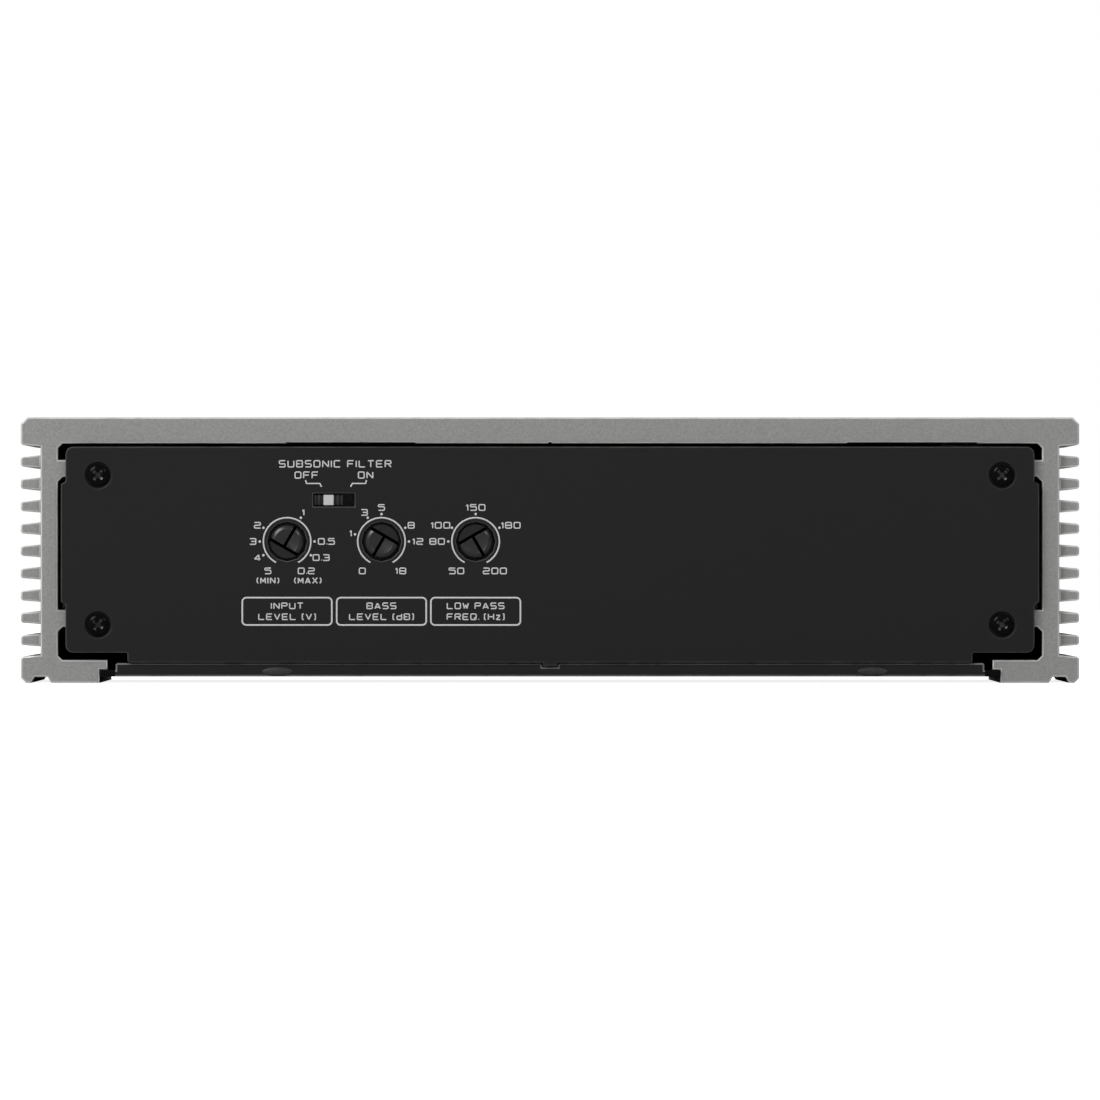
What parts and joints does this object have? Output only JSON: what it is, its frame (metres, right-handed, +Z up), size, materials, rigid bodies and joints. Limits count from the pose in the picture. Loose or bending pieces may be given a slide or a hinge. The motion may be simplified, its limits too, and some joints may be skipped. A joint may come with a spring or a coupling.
{
  "type": "car amplifier",
  "caption": "Low-profile mono car amplifier: finned extruded case, black end panels, turning level controls, slide switch, terminals, fuses and jacks.",
  "frame": {"origin": "centre of the footprint, on the surface the case stands on", "axes": "+Z up, the control panel faces -Y, the terminals face +Y, +X to the right seen from the control panel"},
  "size_m": [0.24, 0.32, 0.0604],
  "materials": {
    "silver_paint": "satin metallic silver-grey paint on extruded aluminium",
    "black_steel": "fine-textured black powder coat",
    "black_screw": "black-oxide steel",
    "plated_screw": "bright zinc-nickel plate",
    "circuit_board": "solder mask over glass-epoxy",
    "plated_brass": "polished plated sleeve",
    "bare_steel": "folded sheet",
    "ferrite": "dull grey core",
    "copper_wire": "enamelled wire",
    "capacitor_sleeve": "shrink sleeve",
    "amber_plastic": "moulded, slightly clear",
    "clear_plastic": "moulded light guide",
    "knob_plastic": "moulded",
    "slider_plastic": "moulded, with a pale mark",
    "black_plastic": "moulded"
  },
  "bodies": {
    "case": {"heat_sink": "silver_paint", "bottom_plate": "black_steel", "front_panel": "black_steel", "rear_panel": "black_steel", "front_panel_screw_1": "black_screw", "rear_panel_screw_1": "black_screw", "front_panel_screw_2": "black_screw", "rear_panel_screw_2": "black_screw", "front_panel_screw_3": "black_screw", "rear_panel_screw_3": "black_screw", "front_panel_screw_4": "black_screw", "rear_panel_screw_4": "black_screw", "bottom_plate_screw_1": "black_screw", "bottom_plate_screw_2": "black_screw", "bottom_plate_screw_3": "black_screw", "bottom_plate_screw_4": "black_screw", "board_screw_1": "plated_screw", "board_screw_2": "plated_screw", "top_screw_1": "plated_screw", "top_screw_2": "plated_screw", "top_screw_3": "plated_screw", "top_screw_4": "plated_screw", "main_board": "circuit_board", "control_board": "circuit_board", "board_link": "black_plastic", "input_level_pot": "black_plastic", "bass_level_pot": "black_plastic", "filter_frequency_pot": "black_plastic", "switch_body": "black_plastic", "power_terminal_block": "black_plastic", "speaker_terminal_block": "black_plastic", "fuse_holder": "black_plastic", "input_jack_housing": "black_plastic", "input_jack_sleeve_left": "plated_brass", "input_jack_sleeve_right": "plated_brass", "remote_level_socket": "black_plastic", "status_light": "clear_plastic", "transformer_core": "ferrite", "transformer_winding": "copper_wire", "output_inductor": "ferrite", "capacitor_1": "capacitor_sleeve", "capacitor_2": "capacitor_sleeve", "capacitor_3": "capacitor_sleeve", "clamp_bar_1": "bare_steel", "power_transistor_1": "black_plastic", "power_transistor_2": "black_plastic", "clamp_bar_2": "bare_steel", "power_transistor_3": "black_plastic", "power_transistor_4": "black_plastic"},
    "input_level_knob": {"input_level_knob": "knob_plastic"},
    "bass_level_knob": {"bass_level_knob": "knob_plastic"},
    "filter_frequency_knob": {"filter_frequency_knob": "knob_plastic"},
    "switch_slider": {"switch_slider": "slider_plastic"},
    "blade_fuse_1": {"blade_fuse_1": "amber_plastic"},
    "blade_fuse_2": {"blade_fuse_2": "amber_plastic"},
    "power_terminal_screw_1": {"power_terminal_screw_1": "plated_screw"},
    "power_terminal_screw_2": {"power_terminal_screw_2": "plated_screw"},
    "power_terminal_screw_3": {"power_terminal_screw_3": "plated_screw"},
    "speaker_terminal_screw_1": {"speaker_terminal_screw_1": "plated_screw"},
    "speaker_terminal_screw_2": {"speaker_terminal_screw_2": "plated_screw"}
  },
  "joints": [
    {"name": "input_level_turn", "type": "hinge", "parent": "case", "child": "input_level_knob", "pos_m": [-0.0596, -0.159, 0.03207], "axis": [0, 1, 0], "range_deg": [-180, 120]},
    {"name": "bass_level_turn", "type": "hinge", "parent": "case", "child": "bass_level_knob", "pos_m": [-0.0382, -0.159, 0.03207], "axis": [0, 1, 0], "range_deg": [0, 300]},
    {"name": "filter_frequency_turn", "type": "hinge", "parent": "case", "child": "filter_frequency_knob", "pos_m": [-0.01685, -0.159, 0.03207], "axis": [0, 1, 0], "range_deg": [-300, 0]},
    {"name": "filter_switch_slide", "type": "slide", "parent": "case", "child": "switch_slider", "axis": [1, 0, 0], "range_m": [0, 0.0024]},
    {"name": "blade_fuse_1_pull", "type": "slide", "parent": "case", "child": "blade_fuse_1", "axis": [0, 1, 0], "range_m": [0, 0.015]},
    {"name": "blade_fuse_2_pull", "type": "slide", "parent": "case", "child": "blade_fuse_2", "axis": [0, 1, 0], "range_m": [0, 0.015]},
    {"name": "power_terminal_screw_1_turn", "type": "hinge", "parent": "case", "child": "power_terminal_screw_1", "pos_m": [-0.083, 0.152, 0.037], "axis": [0, 1, 0], "range_deg": [0, 720]},
    {"name": "power_terminal_screw_2_turn", "type": "hinge", "parent": "case", "child": "power_terminal_screw_2", "pos_m": [-0.068, 0.152, 0.037], "axis": [0, 1, 0], "range_deg": [0, 720]},
    {"name": "power_terminal_screw_3_turn", "type": "hinge", "parent": "case", "child": "power_terminal_screw_3", "pos_m": [-0.053, 0.152, 0.037], "axis": [0, 1, 0], "range_deg": [0, 720]},
    {"name": "speaker_terminal_screw_1_turn", "type": "hinge", "parent": "case", "child": "speaker_terminal_screw_1", "pos_m": [0.0045, 0.152, 0.037], "axis": [0, 1, 0], "range_deg": [0, 720]},
    {"name": "speaker_terminal_screw_2_turn", "type": "hinge", "parent": "case", "child": "speaker_terminal_screw_2", "pos_m": [0.0195, 0.152, 0.037], "axis": [0, 1, 0], "range_deg": [0, 720]}
  ]
}
